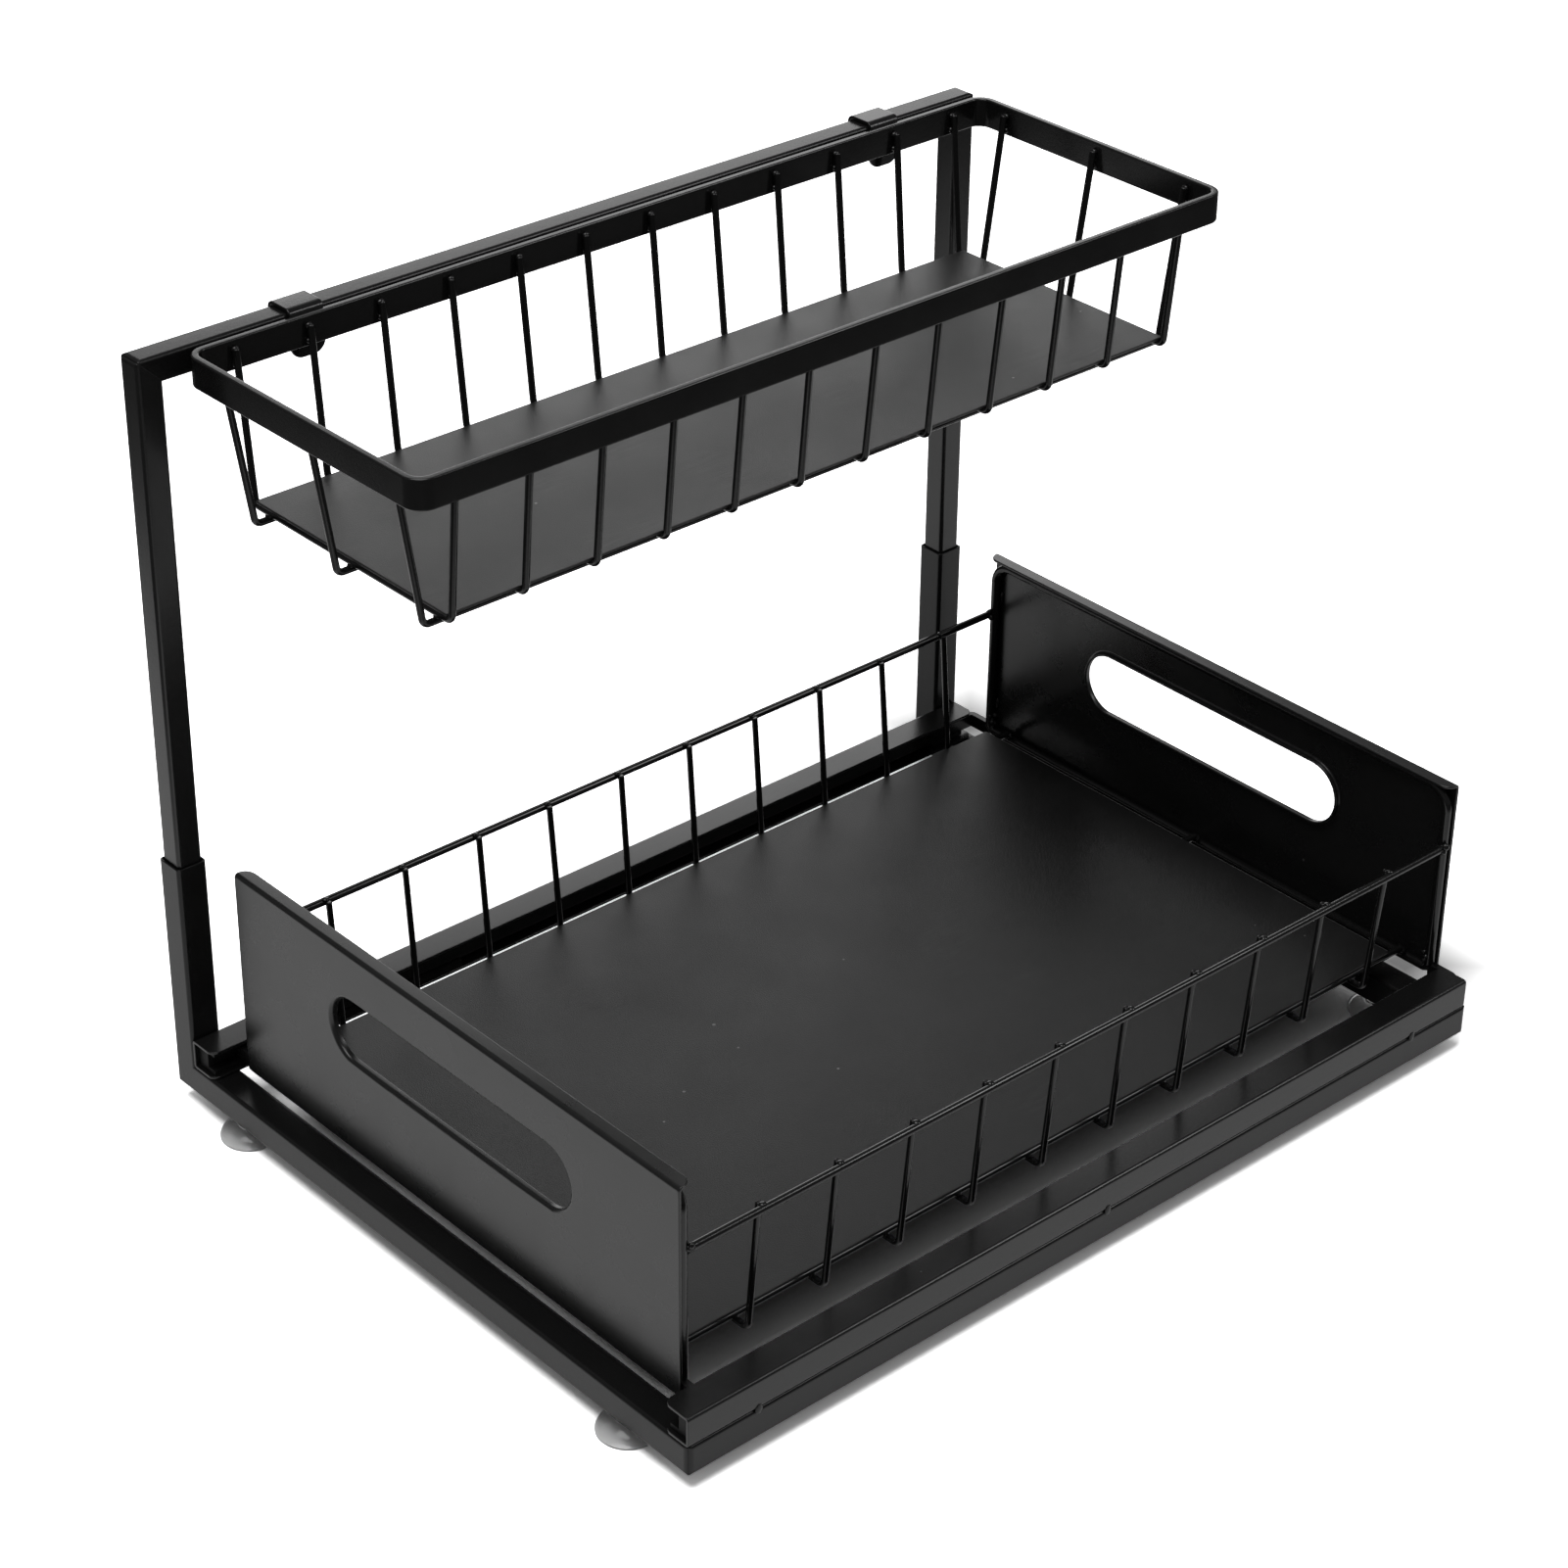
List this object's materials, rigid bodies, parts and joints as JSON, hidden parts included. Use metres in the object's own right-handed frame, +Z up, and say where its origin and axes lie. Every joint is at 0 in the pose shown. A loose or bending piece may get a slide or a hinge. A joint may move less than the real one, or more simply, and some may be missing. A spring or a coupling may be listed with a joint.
{
  "type": "under sink organizer",
  "caption": "L-shaped under-sink organizer: tube frame on suction feet, pull-out wire drawer with slotted end panels, and a hooked wire basket on a lift-out upper frame.",
  "frame": {"origin": "on the floor under the middle of the object's box", "axes": "+Z up, -Y towards the user and the way the drawer pulls out, +X to the user's right"},
  "size_m": [0.3112, 0.421, 0.3212],
  "materials": {
    "satin_black_coat": "satin powder coat",
    "satin_black_sheet": "fine-textured satin powder coat",
    "satin_black_wire": "satin powder coat",
    "black_nylon": "moulded",
    "clear_vinyl": "clear glossy vinyl"
  },
  "bodies": {
    "base": {"front_base_tube": "satin_black_coat", "right_base_tube": "satin_black_coat", "rear_base_tube": "satin_black_coat", "front_post_sleeve": "satin_black_coat", "rear_post_sleeve": "satin_black_coat", "post_stop_plugs": "black_nylon", "left_slide_channel": "satin_black_coat", "right_slide_channel": "satin_black_coat", "left_channel_liner": "black_nylon", "right_channel_liner": "black_nylon", "channel_weld_spots": "satin_black_coat", "suction_foot_front_left": "clear_vinyl", "suction_foot_front_right": "clear_vinyl", "suction_foot_rear_left": "clear_vinyl", "suction_foot_rear_right": "clear_vinyl"},
    "drawer": {"drawer_front_panel": "satin_black_sheet", "drawer_rear_panel": "satin_black_sheet", "front_panel_hoop": "satin_black_wire", "rear_panel_hoop": "satin_black_wire", "drawer_left_top_wire": "satin_black_wire", "drawer_right_top_wire": "satin_black_wire", "drawer_floor_wires": "satin_black_wire", "drawer_cross_wires": "satin_black_wire", "drawer_floor_plate": "satin_black_sheet", "left_drawer_runner": "satin_black_coat", "right_drawer_runner": "satin_black_coat", "left_runner_shoe": "black_nylon", "right_runner_shoe": "black_nylon"},
    "upper_frame": {"front_upper_post": "satin_black_coat", "rear_upper_post": "satin_black_coat", "upper_crossbar": "satin_black_coat"},
    "basket": {"basket_rim": "satin_black_coat", "basket_cross_wires": "satin_black_wire", "basket_long_wires": "satin_black_wire", "basket_floor_plate": "satin_black_sheet", "basket_front_hook": "satin_black_coat", "basket_rear_hook": "satin_black_coat"}
  },
  "joints": [
    {"name": "drawer_slide", "type": "slide", "parent": "base", "child": "drawer", "axis": [0, -1, 0], "range_m": [0, 0.26]},
    {"name": "frame_lift", "type": "slide", "parent": "base", "child": "upper_frame", "axis": [0, 0, 1], "range_m": [0, 0.05]},
    {"name": "basket_lift", "type": "slide", "parent": "upper_frame", "child": "basket", "axis": [0, 0, 1], "range_m": [0, 0.06]}
  ]
}
